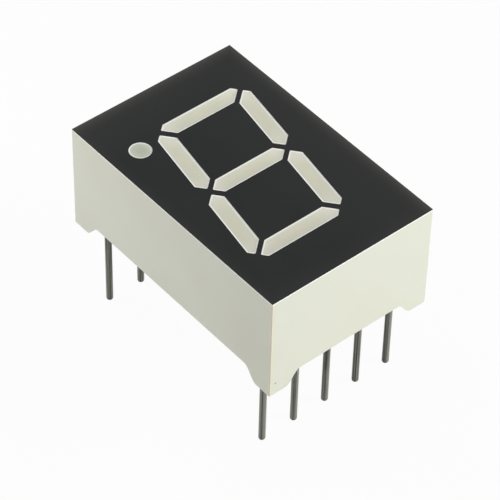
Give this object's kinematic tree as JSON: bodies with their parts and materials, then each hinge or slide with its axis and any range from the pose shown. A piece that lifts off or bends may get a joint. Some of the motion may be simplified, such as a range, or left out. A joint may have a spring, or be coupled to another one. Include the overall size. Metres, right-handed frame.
{
  "type": "seven segment display",
  "caption": "Single-digit LED numeric display: slanted bars and a decimal point in a black face, pale moulded body on corner feet, two rows of round pins below.",
  "frame": {"origin": "centre of the body's outline, on the plane of the pin tips", "axes": "+Z out of the face, away from the pins; +Y towards the top of the digit; +X towards the digit's right-hand side, where the decimal point is"},
  "size_m": [0.0126, 0.019, 0.0142],
  "materials": {
    "housing_plastic": "moulded off-white plastic, fine satin grain",
    "black_mask": "satin charcoal ink",
    "segment_resin": "milky cream epoxy, faintly mottled",
    "board_laminate": "pale glass and epoxy laminate",
    "copper": null,
    "led_die": "sawn semiconductor; gloss_plastic stands in",
    "gold_wire": null,
    "tinned_pin": "dull tinned wire, drawn lengthwise",
    "solder": "bright solder",
    "back_resin": "milky epoxy, slightly glossy"
  },
  "bodies": {
    "root": {"reflector_housing": "housing_plastic", "face_mask": "black_mask", "segment_a": "segment_resin", "segment_b": "segment_resin", "segment_c": "segment_resin", "segment_d": "segment_resin", "segment_e": "segment_resin", "segment_f": "segment_resin", "segment_g": "segment_resin", "decimal_point": "segment_resin", "circuit_board": "board_laminate", "copper_tracks": "copper", "die_a": "led_die", "die_b": "led_die", "die_c": "led_die", "die_d": "led_die", "die_e": "led_die", "die_f": "led_die", "die_g": "led_die", "die_dp": "led_die", "wire_a": "gold_wire", "wire_b": "gold_wire", "wire_c": "gold_wire", "wire_d": "gold_wire", "wire_e": "gold_wire", "wire_f": "gold_wire", "wire_g": "gold_wire", "wire_dp": "gold_wire", "pin_1": "tinned_pin", "pin_2": "tinned_pin", "pin_3": "tinned_pin", "pin_4": "tinned_pin", "pin_5": "tinned_pin", "pin_6": "tinned_pin", "pin_7": "tinned_pin", "pin_8": "tinned_pin", "pin_9": "tinned_pin", "pin_10": "tinned_pin", "solder_1": "solder", "solder_2": "solder", "solder_3": "solder", "solder_4": "solder", "solder_5": "solder", "solder_6": "solder", "solder_7": "solder", "solder_8": "solder", "solder_9": "solder", "solder_10": "solder", "back_filling": "back_resin"}
  },
  "joints": []
}
